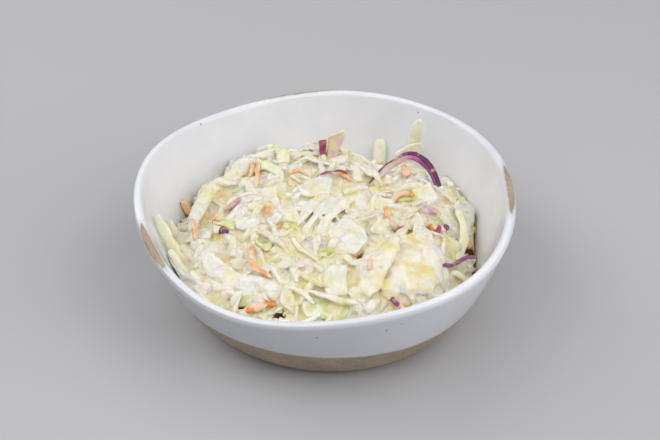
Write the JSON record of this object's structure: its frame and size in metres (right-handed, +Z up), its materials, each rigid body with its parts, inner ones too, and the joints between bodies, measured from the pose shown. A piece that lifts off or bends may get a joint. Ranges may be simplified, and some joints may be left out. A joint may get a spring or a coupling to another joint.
{
  "type": "bowl of coleslaw",
  "caption": "Shredded cabbage, carrot and red cabbage salad in creamy dressing, heaped in a round-cornered stoneware bowl with a wavy rim, white glaze and bare clay foot.",
  "frame": {"origin": "middle of the bowl's flat foot, on the surface it stands on", "axes": "+Z up, out of the bowl's mouth; -Y towards the front, where the rim dips; +X to the right seen from the front"},
  "size_m": [0.1651, 0.1657, 0.0599],
  "materials": {
    "glaze": "gloss",
    "clay": "matte",
    "salad": "satin, wet"
  },
  "bodies": {
    "root": {"bowl": "glaze", "coleslaw": "salad"}
  },
  "joints": []
}
